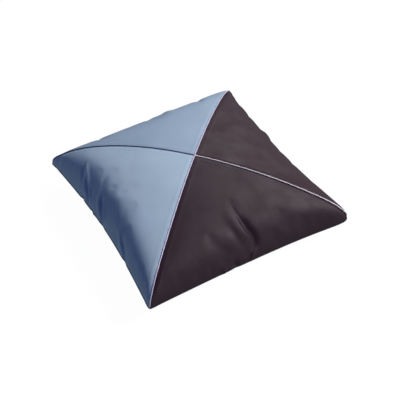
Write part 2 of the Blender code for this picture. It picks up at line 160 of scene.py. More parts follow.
# Folds of the filled front, in plan: each runs through its places. The depth is the deepest
# point below the smooth cushion, negative where the cloth stands up. A fold that leans is
# wider on its left, seen along its path, where lean is positive, and narrower on its right.
Fold = namedtuple("Fold", "places half_width depth lean", defaults=(0.0,))
FOLDS = (
    # The deep crease of the front panel, where the cloth rolls over from the left
    Fold(((0.004, -0.175), (0.006, -0.193), (0.015, -0.205), (0.017, -0.212),
          (0.010, -0.221)), 0.0062, 0.0045, 0.42),
    Fold(((0.001, -0.146), (0.003, -0.165), (0.005, -0.182)), 0.0040, 0.0009, 0.20),
    Fold(((0.010, -0.178), (0.018, -0.194)), 0.0080, 0.0007),
    Fold(((-0.012, -0.161), (-0.008, -0.184), (0.000, -0.202)), 0.0120, -0.0010),
    Fold(((0.002, -0.227), (0.009, -0.224), (0.017, -0.221)), 0.0045, -0.0024),
    # Softer dents in the front panel, towards the left corner
    Fold(((-0.027, -0.182), (-0.017, -0.203), (-0.004, -0.223)), 0.0090, 0.0008),
    Fold(((-0.076, -0.188), (-0.062, -0.205), (-0.033, -0.220)), 0.0100, 0.0007),
    # The creases of the left panel, each with a ridge beside it
    Fold(((-0.196, 0.130), (-0.209, 0.116), (-0.218, 0.107)), 0.0046, 0.0026),
    Fold(((-0.194, 0.122), (-0.204, 0.100), (-0.215, 0.074), (-0.222, 0.056)), 0.0048, -0.0027),
    Fold(((-0.206, 0.106), (-0.215, 0.090), (-0.223, 0.069)), 0.0052, 0.0058),
    Fold(((-0.205, 0.030), (-0.216, 0.015), (-0.224, 0.000)), 0.0050, 0.0044),
    Fold(((-0.205, 0.022), (-0.216, 0.006), (-0.224, -0.009)), 0.0050, -0.0020),
    Fold(((-0.203, 0.045), (-0.214, 0.031), (-0.222, 0.017)), 0.0052, -0.0028),
    # Short dents along the left panel's shoulder
    Fold(((-0.176, 0.060), (-0.188, 0.052), (-0.199, 0.046)), 0.0078, 0.0013),
    Fold(((-0.173, 0.026), (-0.184, 0.020)), 0.0085, 0.0011),
    Fold(((-0.164, 0.000), (-0.178, -0.007)), 0.0085, 0.0010),
    Fold(((-0.180, -0.042), (-0.192, -0.050), (-0.202, -0.058)), 0.0080, 0.0008),
    # Gathers where the left panel meets the rim
    Fold(((-0.212, -0.064), (-0.219, -0.081), (-0.225, -0.097)), 0.0060, -0.0018),
    Fold(((-0.216, -0.084), (-0.222, -0.099), (-0.229, -0.116)), 0.0060, 0.0040),
    Fold(((-0.225, 0.093), (-0.228, 0.087)), 0.0070, 0.0030),
    Fold(((-0.224, 0.048), (-0.226, 0.045)), 0.0050, 0.0018),
    Fold(((-0.224, 0.036), (-0.226, 0.034)), 0.0060, -0.0016),
    Fold(((-0.223, -0.008), (-0.226, -0.010)), 0.0070, 0.0016),
    Fold(((-0.223, 0.215), (-0.232, 0.212), (-0.237, 0.210)), 0.0060, 0.0014),
    # Gathers of the front panel's rim
    Fold(((-0.036, -0.225), (-0.035, -0.229)), 0.0070, 0.0028),
    Fold(((-0.063, -0.226), (-0.061, -0.230)), 0.0070, -0.0014),
    # The rear corner's knob, and the notch beside it
    Fold(((0.236, 0.232), (0.239, 0.229)), 0.0050, -0.0022),
    Fold(((0.226, 0.217), (0.235, 0.218), (0.239, 0.218)), 0.0060, 0.0034),
    # Gathers and soft rolls of the right panel
    Fold(((0.199, 0.118), (0.220, 0.120), (0.230, 0.120)), 0.0110, 0.0032),
    Fold(((0.198, 0.042), (0.216, 0.042), (0.226, 0.042)), 0.0110, -0.0034),
    Fold(((0.200, -0.018), (0.215, -0.020), (0.225, -0.022)), 0.0080, 0.0026),
    Fold(((0.198, -0.064), (0.216, -0.068), (0.227, -0.071)), 0.0085, 0.0028),
    # Gathers and soft rolls of the rear panel
    Fold(((-0.126, 0.181), (-0.132, 0.204), (-0.135, 0.223)), 0.0085, 0.0022),
    Fold(((-0.008, 0.178), (-0.009, 0.200), (-0.010, 0.218)), 0.0090, 0.0014),
    Fold(((0.038, 0.176), (0.040, 0.200), (0.042, 0.219)), 0.0120, -0.0020),
    Fold(((0.121, 0.182), (0.124, 0.206), (0.127, 0.223)), 0.0085, 0.0022),
    # The filling stands fuller along the left panel's shoulder, and a little along the front's
    Fold(((-0.206, 0.172), (-0.187, 0.122), (-0.180, 0.059), (-0.180, 0.000),
          (-0.189, -0.060), (-0.200, -0.120), (-0.214, -0.175)), 0.0340, -0.0062),
    Fold(((-0.170, -0.216), (-0.090, -0.205), (0.000, -0.195), (0.079, -0.192),
          (0.139, -0.199), (0.200, -0.214)), 0.0180, -0.0022),
    # It stands fuller beside the navy and pink seams, and under the far half of the lilac one
    Fold(((-0.115, 0.065), (-0.160, 0.108), (-0.198, 0.150)), 0.0300, -0.0030),
    Fold(((0.105, -0.075), (0.155, -0.118), (0.200, -0.160)), 0.0280, -0.0018),
    Fold(((0.050, 0.056), (0.110, 0.118), (0.180, 0.186)), 0.0300, -0.0014),
    # It is flatter at the rear, towards the left corner, and beside the rear corner
    Fold(((-0.195, 0.219), (-0.139, 0.200), (-0.069, 0.191), (-0.010, 0.188)), 0.0260, 0.0030),
    Fold(((0.230, 0.206), (0.222, 0.181), (0.214, 0.150)), 0.0200, 0.0024),
)

# The panels in turn from the right side: each is one more quarter round
Panel = namedtuple("Panel", "name node look slot")
# The left and right panels take cloths with painted sheen, the front one a cloth with painted shade
PANELS = (
    Panel("dark_panel_right", "panel_dark_side", "dark_cloth_right_painted_sheen", "dark_cloth"),
    Panel("blue_panel_rear", "panel_blue_rear", "blue_cloth_rear", "blue_cloth"),
    Panel("blue_panel_left", "panel_blue_side", "blue_cloth_left_painted_sheen", "blue_cloth"),
    Panel("dark_panel_front", "panel_dark_front", "dark_cloth_front_painted_shade", "dark_cloth"),
)

# The cords: each runs from one u to another, and v is slant times u
TIP = 1 - PIPING_STOP / SEAM_HALF
PINK_TIP = 1 - PINK_STOP / SEAM_HALF
MIDDLE = PIPING_ROOM / (np.sqrt(2) * SEAM_HALF)
Cord = namedtuple("Cord", "name node slot start end slant steps")
CORDS = (
    Cord("lilac_piping", "piping_lilac", "lilac_cord", -TIP, TIP, 1, 560),
    Cord("pink_piping", "piping_pink", "pink_cord", MIDDLE, PINK_TIP, -1, 280),
    Cord("navy_piping", "piping_navy", "navy_cord", -TIP, -MIDDLE, -1, 280),
)

# Looks of the cloths and cords: colours in linear RGB, the pitch of the threads in metres, and
# the lustre, which draws the shine out along one way of the threads. The two cloths of each
# colour are one cloth whose threads lie differently from panel to panel, with the shine that this
# gives painted into their colours: painted sheen makes the left blue and the right dark copies
# lighter, painted shade makes the front dark copy darker.
THREAD_PITCH = 0.0008
CORD_PITCH = 0.0007
Look = namedtuple("Look", "colour roughness sheen pitch lustre shine")
LOOKS = {
    "blue_cloth_rear": Look((0.385, 0.508, 0.606), 0.6, 0.0, THREAD_PITCH, 0.55, 0.50),
    # painted sheen: the rear's blue cloth, made lighter for the shine its threads catch
    "blue_cloth_left_painted_sheen": Look((0.500, 0.643, 0.728), 0.6, 0.0, THREAD_PITCH, 0.55, 0.50),
    # painted sheen: the dark cloth made lighter for the shine its threads catch
    "dark_cloth_right_painted_sheen": Look((0.0395, 0.0152, 0.0195), 0.6, 0.0, THREAD_PITCH, 0.55, 0.53),
    # painted shade: the same dark cloth made darker for the shine it misses
    "dark_cloth_front_painted_shade": Look((0.0325, 0.0102, 0.0175), 0.6, 0.0, THREAD_PITCH, 0.55, 0.42),
    "back_cloth": Look((0.030, 0.022, 0.026), 0.6, 0.1, THREAD_PITCH, 0.0, 0.50),
    "lilac_cord": Look((0.83, 0.75, 0.92), 0.4, 0.3, CORD_PITCH, 0.0, 0.80),
    "pink_cord": Look((0.95, 0.86, 0.83), 0.4, 0.5, CORD_PITCH, 0.0, 1.00),
    "navy_cord": Look((0.075, 0.110, 0.200), 0.5, 0.1, CORD_PITCH, 0.0, 0.50),
}
SLUB_SCALE = 420           # noise patches in a metre of cloth
DYE_SCALE = 14
WEAR_SCALE = 24
WEAVE_SHARE = 0.5          # height of the threads beside that of the slubs
WEAVE_STRENGTH = 0.25
WEAVE_DEPTH = 0.00015
DYE_SHARE = 0.7            # how much of the uneven dye is patches, the rest being slubs
DYE_RANGE = (0.3, 0.7)     # noise at which the dye is darkest and palest
DYE_VARIATION = 0.05
WEAR = 0.3                 # how far the roughness varies
SHEEN_ROUGHNESS = 0.4

# The camera stands at the photograph's angle to the cushion's face: degrees and metres
CAMERA_AZIMUTH = -30.2
CAMERA_ELEVATION = 46.1
CAMERA_ROLL = -0.05
CAMERA_DISTANCE = 1.829
CAMERA_ANGLE = 27.0
CAMERA_AIM_RIGHT = 0.0112
CAMERA_AIM_UP = -0.0247

# Square soft lights: azimuth and elevation in degrees, the side in metres, and the brightness
# that each gives white cloth facing it
LIGHT_DISTANCE = 3.0
Light = namedtuple("Light", "name azimuth elevation size strength")
LIGHTS = (
    Light("key", -34, 44, 0.9, 0.69),
    Light("side", 42, 43, 0.9, 0.31),
    Light("rear", 105, 30, 0.9, 0.044),
    Light("low", -80, 15, 0.9, 0.012),
)
FLOOR_GLOW = (0.218, 0.268, 0.305, 1)
ROOM_GLOW = (0.0, 0.012, 0.115, 1)
ROOM_RISE = 0.15           # upward share of a direction from which the room's glow is full
FLOOR_HALF = 6.0
FLOOR_DROP = 0.0002        # the floor lies this far below the cushion
FLOOR_GREY = 0.06
FLOOR_WHITE = 0.98         # the floor's own brightness, which only the camera sees
WHITE = (1, 1, 1, 1)


def rounded_tips(u, v):
    """u, v with the square's corners turned into arcs."""
    start = 1 - TIP_ROUND / SEAM_HALF
    past_u = np.clip(np.abs(u) - start, 0, None)
    past_v = np.clip(np.abs(v) - start, 0, None)
    share = np.maximum(past_u, past_v) / np.maximum(np.hypot(past_u, past_v), TINY)
    u = np.where(past_u > 0, np.sign(u) * (start + past_u * share), u)
    v = np.where(past_v > 0, np.sign(v) * (start + past_v * share), v)
    return u, v


def pulled_from(side, t):
    """How far a side is drawn in from the square, along it from -1 to 1."""
    from_low = (1 + t) / END_REACH
    from_high = (1 - t) / END_REACH
    low_pinch = side.low_end * from_low * np.exp(1 - from_low)
    high_pinch = side.high_end * from_high * np.exp(1 - from_high)
    return side.drawn_in * (1 - t * t) + low_pinch + high_pinch


def plan(u, v):
    """Plan place of the front at u, v: drawn-in sides and rounded tips."""
    u, v = rounded_tips(u, v)
    x = u * (SEAM_HALF - np.where(u > 0, pulled_from(RIGHT, v), pulled_from(LEFT, v)))
    y = v * (SEAM_HALF - np.where(v > 0, pulled_from(REAR, u), pulled_from(FRONT, u)))
    for corner in CORNERS:
        near = (np.clip(u * corner.x, 0, 1) * np.clip(v * corner.y, 0, 1)) ** TIP_SHARPNESS
        x = x - corner.x * corner.pulled_in * near
        y = y - corner.y * corner.pulled_in * near
    return x, y


def seam_level(u, v):
    """Height of the edge seam, carried across the whole plan."""
    height = SEAM_HEIGHT
    for corner in CORNERS:
        height = height + corner.raised * (1 + corner.x * u) * (1 + corner.y * v) / 4
    height = height + (1 - v * v) * ((1 + u) * RIGHT.raised + (1 - u) * LEFT.raised) / 2
    height = height + (1 - u * u) * ((1 + v) * REAR.raised + (1 - v) * FRONT.raised) / 2
    return height


def crown(u, v):
    """Fullness of the filling, 0 at the edge seam and 1 at the centre."""
    across = 1 - np.abs(u) ** PLATEAU
    along = 1 - np.abs(v) ** PLATEAU
    either = np.clip(across + along - across * along, TINY, None)
    full = across * along / either ** CORNER_FILL
    low = FOOT ** SHOULDER
    high = (1 + FOOT) ** SHOULDER
    return ((full + FOOT) ** SHOULDER - low) / (high - low)


def smooth_front(u, v):
    """The front's outer face without its folds."""
    x, y = plan(u, v)
    z = seam_level(u, v) + CROWN * crown(u, v)
    return np.stack([x, y, z], axis=-1)


def facing(surface, u, v):
    """Unit normals of a surface of u and v, pointing out of the cushion."""
    u = np.clip(u, STEP - 1, 1 - STEP)
    v = np.clip(v, STEP - 1, 1 - STEP)
    across = surface(u + STEP, v) - surface(u - STEP, v)
    along = surface(u, v + STEP) - surface(u, v - STEP)
    normal = np.cross(across, along)
    return normal / np.linalg.norm(normal, axis=-1, keepdims=True)


def front_above(x, y):
    """The place on the smooth front that lies over the plan place x, y."""
    u, v = x / SEAM_HALF, y / SEAM_HALF
    for _ in range(SEARCH_ROUNDS):
        reached_x, reached_y = plan(u, v)
        u = np.clip(u + (x - reached_x) / SEAM_HALF, -1, 1)
        v = np.clip(v + (y - reached_y) / SEAM_HALF, -1, 1)
    return smooth_front(u, v)


def fold_path(fold):
    """Evenly spaced points along a fold, on the smooth front, with its bends rounded off."""
    places = np.array(fold.places)
    for _ in range(FOLD_ROUNDINGS):
        early = (1 - FOLD_CUT) * places[:-1] + FOLD_CUT * places[1:]
        late = FOLD_CUT * places[:-1] + (1 - FOLD_CUT) * places[1:]
        between = np.stack([early, late], 1).reshape(-1, 2)[1:-1]
        places = np.vstack([places[:1], between, places[-1:]])
    run = np.concatenate([[0], np.cumsum(np.linalg.norm(np.diff(places, axis=0), axis=1))])
    stops = np.linspace(0, run[-1], FOLD_STEPS)
    return front_above(np.interp(stops, run, places[:, 0]), np.interp(stops, run, places[:, 1]))


FOLD_PATHS = [fold_path(fold) for fold in FOLDS]


def one_fold(fold, path, points):
    """How far one fold presses points in; one that leans is wider on one side of its path."""
    nearest = np.full(len(points), np.inf)
    strength = np.zeros(len(points))
    side = np.zeros(len(points))
    outward = points - HEART
    for index in range(FOLD_STEPS - 1):
        run = path[index + 1] - path[index]
        along = np.clip((points - path[index]) @ run / (run @ run), 0, 1)
        away = points - path[index] - along[:, None] * run
        distance = np.linalg.norm(away, axis=1)
        closer = distance < nearest
        nearest = np.where(closer, distance, nearest)
        passed = (index + along) / (FOLD_STEPS - 1)
        swell = np.sqrt(np.sin(np.pi * (FOLD_ENDS + (1 - 2 * FOLD_ENDS) * passed)))
        strength = np.where(closer, swell, strength)
        if fold.lean:
            across = (np.cross(run, away) * outward).sum(axis=1)
            size = np.linalg.norm(run) * np.linalg.norm(outward, axis=1)
            size = size * np.maximum(distance, TINY)
            side = np.where(closer, across / size, side)
    width = fold.half_width * (1 + fold.lean * side)
    return fold.depth * strength * np.exp(-(nearest / width) ** 2)


def fold_depth(points):
    """How far the folds press each point of the smooth front in."""
    depth = np.zeros(points.shape[:-1])
    for fold, path in zip(FOLDS, FOLD_PATHS):
        reach = FOLD_REACH * fold.half_width * (1 + abs(fold.lean))
        above = points > path.min(axis=0) - reach
        below = points < path.max(axis=0) + reach
        close = (above & below).all(axis=-1)
        depth[close] += one_fold(fold, path, points[close])
    return depth


def groove_depth(u, v):
    """The cloth turns down beside each piped seam, more beside some than beside others."""
    lilac = LILAC_GROOVE * np.exp(-((u - v) * SEAM_HALF / np.sqrt(2) / LILAC_GROOVE_WIDTH) ** 2)
    falling = np.exp(-((u + v) * SEAM_HALF / np.sqrt(2) / GROOVE_WIDTH) ** 2)
    # The other diagonal is pink on one side of the centre and navy on the other
    pink = 0.5 + 0.5 * np.tanh((u - v) * SEAM_HALF / GROOVE_WIDTH)
    from_corner = (1 - np.minimum(np.abs(u), np.abs(v))) * SEAM_HALF
    shallower = np.clip(from_corner / GROOVE_FADE, GROOVE_LEAST, 1)
    return shallower * (lilac + falling * (NAVY_GROOVE + (PINK_GROOVE - NAVY_GROOVE) * pink))


def seam_rise(u, v):
    """Beside a piped seam the cloth shows the allowance below it, and gathers unevenly."""
    rise = 0
    for apart, along in ((u - v, u + v), (u + v, u - v)):
        away = np.abs(apart) * SEAM_HALF / np.sqrt(2)
        run = along * SEAM_HALF / np.sqrt(2) + GATHER_SHIFT * np.tanh(apart / GATHER_CROSSING)
        middle = np.clip(np.abs(along) / MIDDLE_FADE, 0, 1)
        allowance = np.exp(-((away - ALLOWANCE_AWAY) / ALLOWANCE_WIDTH) ** 2)
        rise = rise + ALLOWANCE_RISE * middle * allowance
        waves = sum(
            np.sin(2 * np.pi * run / length + GATHER_PHASE * k)
            for k, length in enumerate(GATHER_LENGTHS)
        )
        rise = rise + GATHER_RISE * middle * waves * np.exp(-(away / GATHER_WIDTH) ** 2)
    return rise


def crowded(t, crowding):
    """t from -1 to 1, even at the centre and crowded towards the ends."""
    return (1 - crowding) * t + crowding * np.sin(np.pi / 2 * t)


def sheet_line():
    """Places of the simulated sheet's threads, in u or v."""
    return crowded(np.linspace(-1, 1, SHEET_CELLS + 1), SHEET_CROWDING)


def simulated_sheet():
    """How far a sheet of cloth stands off the filling, pressed out by it and held at its rim."""
    line = sheet_line()
    u, v = np.meshgrid(line, line, indexing="ij")
    smooth = smooth_front(u, v)
    normal = facing(smooth_front, u, v)
    surface = smooth - fold_depth(smooth)[..., None] * normal
    inside = 1 - np.maximum(np.abs(u), np.abs(v)) ** SLACK_SQUARENESS
    start = surface - SHEET_SLACK * inside[..., None] * normal
    around = SHEET_CELLS + 1
    number = np.arange(around * around).reshape(around, around)
    faces = np.stack([number[:-1, :-1], number[1:, :-1], number[1:, 1:], number[:-1, 1:]], -1)
    mesh = bpy.data.meshes.new("sheet")
    mesh.from_pydata(start.reshape(-1, 3).tolist(), [], faces.reshape(-1, 4).tolist())
    sheet = bpy.data.objects.new("sheet", mesh)
    bpy.context.scene.collection.objects.link(sheet)
    rim = sheet.vertex_groups.new(name="rim")
    rim.add(number[np.maximum(np.abs(u), np.abs(v)) > 1 - STEP].tolist(), 1.0, "REPLACE")
    cloth = sheet.modifiers.new("cloth", "CLOTH")
    cloth.settings.quality = 6
    cloth.settings.mass = 0.2
    cloth.settings.tension_stiffness = 25
    cloth.settings.compression_stiffness = 25
    cloth.settings.shear_stiffness = 8
    cloth.settings.bending_stiffness = SHEET_BENDING
    cloth.settings.air_damping = 4
    cloth.settings.use_pressure = True
    cloth.settings.uniform_pressure_force = SHEET_PRESSURE
    cloth.settings.shrink_min = SHEET_SHRINK
    cloth.settings.effector_weights.gravity = 0
    cloth.settings.vertex_group_mass = "rim"
    cloth.collision_settings.use_collision = False
    for step in range(1, SHEET_FRAMES + 1):
        bpy.context.scene.frame_set(step)
    evaluated = sheet.evaluated_get(bpy.context.evaluated_depsgraph_get())
    moved = np.empty(around * around * 3)
    evaluated.data.vertices.foreach_get("co", moved)
    bpy.data.objects.remove(sheet, do_unlink=True)
    bpy.data.meshes.remove(mesh)
    bpy.context.scene.frame_set(1)
    return ((moved.reshape(around, around, 3) - surface) * normal).sum(axis=-1)


def softened(field, reach):
    """A field with everything smaller than reach cells smoothed away."""
    spread = PUCKER_SPREAD * reach
    steps = np.arange(-spread, spread + 1)
    weight = np.exp(-0.5 * (steps / reach) ** 2)
    weight /= weight.sum()
    # Each pass smooths along one direction and then turns the field for the other
    for _ in range(2):
        wide = np.pad(field, ((spread, spread), (0, 0)), mode="edge")
        field = sum(w * wide[k:k + len(field)] for k, w in enumerate(weight)).T
    return field


def pucker_grid():
    """Heights of the small puckers over the sheet's places."""
    line = sheet_line()
    height = simulated_sheet()
    height = PUCKER_SHARE * (height - softened(height, PUCKER_REACH))
    height = PUCKER_MOST * np.tanh(height / PUCKER_MOST)
    from_rim = 1 - np.abs(line)
    fade = np.clip(from_rim / RIM_FADE, 0, 1)
    return height * np.minimum(fade[:, None], fade[None, :])


PUCKERS = pucker_grid()


def pucker_height(u, v):
    """The puckers' height at any place, on smooth curves through the sheet's places."""
    line = sheet_line()
    cell_u = np.interp(u, line, np.arange(len(line)))
    cell_v = np.interp(v, line, np.arange(len(line)))
    height = np.zeros(np.shape(u))
    for step_u, weight_u in curve_weights(cell_u):
        for step_v, weight_v in curve_weights(cell_v):
            height = height + weight_u * weight_v * PUCKERS[step_u, step_v]
    return height


def curve_weights(cell):
    """Four neighbouring places and their shares in a smooth curve between the middle two."""
    low = np.clip(np.floor(cell).astype(int), 0, SHEET_CELLS - 1)
    t = cell - low
    shares = (
        ((2 - t) * t - 1) * t / 2,
        ((3 * t - 5) * t * t + 2) / 2,
        ((4 - 3 * t) * t + 1) * t / 2,
        (t - 1) * t * t / 2,
    )
    places = [np.clip(low + offset, 0, SHEET_CELLS) for offset in (-1, 0, 1, 2)]
    return list(zip(places, shares))


def front(u, v):
    """The front's outer face, with its folds, its puckers and its piped seams."""
    smooth = smooth_front(u, v)
    depth = fold_depth(smooth) + groove_depth(u, v) - seam_rise(u, v) - pucker_height(u, v)
    return smooth - depth[..., None] * facing(smooth_front, u, v)


def front_and_facing(u, v):
    """The front's outer face and its unit normals."""
    return front(u, v), facing(front, u, v)


def turned(u, v, quarter):
    """u, v turned about the centre by a number of quarter turns."""
    for _ in range(quarter):
        u, v = -v, u
    return u, v


def grid_rows(rows):
    """Row and column of each place on a triangular grid that widens from one point."""
    row = np.concatenate([np.full(2 * r + 1, r) for r in range(rows + 1)])
    column = np.concatenate([np.arange(-r, r + 1) for r in range(rows + 1)])
    return row, column


def grid_index(row, column):
    """Number of a place on a triangular grid."""
    return row * row + row + column


def grid_triangles(rows):
    """Triangles of a triangular grid, facing up."""
    triangles = []
    for row in range(rows):
        column = np.arange(-row, row)
        a = grid_index(row, column)
        b = grid_index(row + 1, column)
        c = grid_index(row + 1, column + 1)
        d = grid_index(row, column + 1)
        early = (column < 0)[:, None]
        triangles.append(np.where(early, np.stack([a, b, d], 1), np.stack([a, b, c], 1)))
        triangles.append(np.where(early, np.stack([b, c, d], 1), np.stack([a, c, d], 1)))
        # The next row is wider by a triangle at each end
        first = grid_index(row, -row)
        last = grid_index(row, row)
        next_first = grid_index(row + 1, -row)
        next_last = grid_index(row + 1, row)
        ends = [[last, next_last, next_last + 1], [first, next_first - 1, next_first]]
        triangles.append(np.array(ends))
    return np.concatenate(triangles)


def grid_border(rows):
    """Round a triangular grid's edge: out, across its last row, and back."""
    out = [grid_index(row, -row) for row in range(rows)]
    across = [grid_index(rows, column) for column in range(-rows, rows + 1)]
    back = [grid_index(row, row) for row in range(rows - 1, 0, -1)]
    return np.array(out + across + back)


def add_piece(name, points, faces, uv, material):
    """One closed mesh piece that rides on the cushion's only body."""
    mesh = bpy.data.meshes.new(name)
    mesh.from_pydata(points.tolist(), [], [tuple(face) for face in faces])
    work = bmesh.new()
    work.from_mesh(mesh)
    bmesh.ops.recalc_face_normals(work, faces=work.faces)
    work.to_mesh(mesh)
    work.free()
    layer = mesh.uv_layers.new(name="cut")
    corners = np.empty(len(mesh.loops), dtype=np.int32)
    mesh.loops.foreach_get("vertex_index", corners)
    layer.data.foreach_set("uv", uv[corners].astype(np.float32).ravel())
    mesh.shade_smooth()
    mesh.set_sharp_from_angle(angle=SHARP_EDGE)
    mesh.materials.append(material)
    piece = bpy.data.objects.new(name, mesh)
    bpy.context.scene.collection.objects.link(piece)
    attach(piece, "root")
    return piece


def drawn_in(t):
    """How far the edge seam draws a diagonal seam in, at a distance t from the centre."""
    return np.exp(-((1 - np.abs(t)) * np.sqrt(2) * SEAM_HALF / PIPING_CATCH) ** 2)


def front_panel(panel, quarter, material):
    """A triangle of cloth: its outer and inner face, joined round its edge."""
    row, column = grid_rows(PANEL_ROWS)
    # Its point and its edges along the seams stand back for the cords
    apex = PIPING_ROOM * np.sqrt(2) / SEAM_HALF
    across = apex + (1 - apex) * crowded(row / PANEL_ROWS, CROWDING)
    along = (across - apex) * column / np.maximum(row, 1)
    # They close in again where a corner catches the cord
    beside = np.abs(column) == row
    closing = np.sign(column) * apex * SLOT_CLOSING * drawn_in(across)
    along = along + np.where(beside, closing, 0)
    u, v = turned(across, np.clip(along, -1, 1), quarter)
    outer, out = front_and_facing(u, v)
    inner = outer - CLOTH * out
    triangles = grid_triangles(PANEL_ROWS)
    under = len(outer)
    border = grid_border(PANEL_ROWS)
    after = np.roll(border, -1)
    faces = np.concatenate([
        triangles,
        triangles[:, ::-1] + under,
        np.stack([border, border + under, after + under], 1),
        np.stack([border, after + under, after], 1),
    ])
    points = np.vstack([outer, inner])
    cut = np.stack([across, along], 1) * SEAM_HALF
    piece = add_piece(panel.name, points, faces, np.vstack([cut, cut]), material)
    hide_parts(panel.node)


def filling_front():
    """The filling's face below the panels: its points, their flat places, its faces and its rim."""
    row, column = grid_rows(BODY_ROWS)
    inside = row < BODY_ROWS
    triangles = grid_triangles(BODY_ROWS)
    numbered = {}
    points = []
    cuts = []
    faces = []
    rim = []
    for quarter in range(len(PANELS)):
        u = crowded(row / BODY_ROWS, CROWDING)
        v = u * column / np.maximum(row, 1)
        u, v = turned(u, v, quarter)
        outer, out = front_and_facing(u, v)
        below = outer - UNDER_CLOTH * out
        index = np.empty(len(row), dtype=np.int64)
        for here in range(len(row)):
            key = (round(float(u[here]), MATCHING), round(float(v[here]), MATCHING))
            if key not in numbered:
                numbered[key] = len(points)
                points.append(below[here] if inside[here] else outer[here])
                cuts.append((u[here] * SEAM_HALF, v[here] * SEAM_HALF))
            index[here] = numbered[key]
        faces.append(index[triangles])
        rim += [index[grid_index(BODY_ROWS, c)] for c in range(-BODY_ROWS, BODY_ROWS)]
    return np.array(points), np.array(cuts), faces, np.array(rim)


def away_from(seam, place):
    """Level directions out of the cushion, square to its edge seam."""
    run = np.roll(seam, -1, axis=0) - np.roll(seam, 1, axis=0)
    away = np.stack([run[:, 1], -run[:, 0], np.zeros(len(seam))], 1)
    away /= np.linalg.norm(away, axis=1, keepdims=True)
    away *= np.sign((away[:, :2] * place).sum(axis=1, keepdims=True))
    return away


def rim_and_underside(seam, place, away):
    """Rings of points round the rim's rounded edge, then in and down to the flat patch."""
    rings = []
    for angle in np.linspace(np.pi / 2, -np.pi / 2, RIM_STEPS + 1):
        out = (RIM_OUT - RIM_RADIUS + RIM_RADIUS * np.cos(angle)) * away
        rings.append(seam + out + (RIM_RADIUS * (np.sin(angle) - 1) - CLOTH / 2) * UP)
    edge = rings[-1]
    direction = np.hstack([place, np.zeros((len(seam), 1))])
    powers = (np.abs(direction) ** REST_SQUARENESS).sum(axis=1, keepdims=True)
    patch = direction / powers ** (1 / REST_SQUARENESS) * REST_HALF
    for share in np.linspace(0, 1, UNDERSIDE_STEPS + 1)[1:] ** UNDERSIDE_CROWDING:
        ring = edge * (1 - share) + patch * share
        # The height falls with the square, so that the underside levels out at the patch
        ring[:, 2] = edge[:, 2] * (1 - share) ** 2
        rings.append(ring)
    return rings


def cushion_form(material):
    """The filled cushion below the panels, its seam rim and its back, flat where it rests."""
    points, cuts, faces, rim = filling_front()
    seam = points[rim]
    place = cuts[rim] / SEAM_HALF
    away = away_from(seam, place)
    points[rim] = seam - UNDER_CLOTH * away - CLOTH / 2 * UP
    rings = rim_and_underside(seam, place, away)
    first = len(points)
    around = len(rim)
    numbers = [rim] + [first + ring * around + np.arange(around) for ring in range(len(rings))]
    for upper, lower in zip(numbers, numbers[1:]):
        faces.append(np.stack([upper, lower, np.roll(lower, -1)], 1))
        faces.append(np.stack([upper, np.roll(lower, -1), np.roll(upper, -1)], 1))
    centre = first + len(rings) * around
    faces.append(np.stack([np.roll(numbers[-1], -1), numbers[-1], np.full(around, centre)], 1))
    everything = np.vstack([points] + rings + [np.zeros((1, 3))])
    cut = np.vstack([cuts] + [ring[:, :2] for ring in rings] + [np.zeros((1, 2))])
    piece = add_piece("filled_cushion", everything, np.concatenate(faces), cut, material)
    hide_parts("cushion_body")


def piping(cord, material):
    """A cloth-covered cord in a diagonal seam, with rounded ends."""
    share = crowded(np.linspace(-1, 1, cord.steps), PIPING_CROWDING)
    t = (cord.start + cord.end) / 2 + (cord.end - cord.start) / 2 * share
    path, up = front_and_facing(t, t * cord.slant)
    caught = drawn_in(t)
    groove = groove_depth(t, t * cord.slant)
    rise = PIPING_LIFT + (1 - PIPING_SINK) * groove - PIPING_DROP * caught
    path = path + rise[:, None] * up
    ahead = np.gradient(path, axis=0)
    ahead /= np.linalg.norm(ahead, axis=1, keepdims=True)
    side = np.cross(ahead, up)
    side /= np.linalg.norm(side, axis=1, keepdims=True)
    up = np.cross(side, ahead)
    length = np.concatenate([[0], np.cumsum(np.linalg.norm(np.diff(path, axis=0), axis=1))])
    # The ends close like a thimble over one radius
    from_end = np.minimum(length, length[-1] - length) / PIPING_RADIUS
    closing = np.clip(1 - np.clip(1 - from_end, 0, 1) ** 2, PIPING_POINT, 1)
    radius = PIPING_RADIUS * np.sqrt(closing) * (1 - PIPING_PINCH * caught)
    angle = np.arange(PIPING_SIDES) * 2 * np.pi / PIPING_SIDES
    sideways = np.cos(angle)[None, :, None] * side[:, None, :]
    upward = np.sin(angle)[None, :, None] * up[:, None, :]
    points = (path[:, None, :] + radius[:, None, None] * (sideways + upward)).reshape(-1, 3)
    uv = np.stack(np.broadcast_arrays(length[:, None], angle[None, :] * PIPING_RADIUS), -1)
    faces = []
    for here in range(cord.steps - 1):
        for k in range(PIPING_SIDES):
            a = here * PIPING_SIDES + k
            b = here * PIPING_SIDES + (k + 1) % PIPING_SIDES
            faces.append((a, b, b + PIPING_SIDES, a + PIPING_SIDES))
    faces.append(tuple(range(PIPING_SIDES)))
    faces.append(tuple(range((cord.steps - 1) * PIPING_SIDES, cord.steps * PIPING_SIDES)))
    piece = add_piece(cord.name, points, faces, uv.reshape(-1, 2), material)
    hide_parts(cord.node)


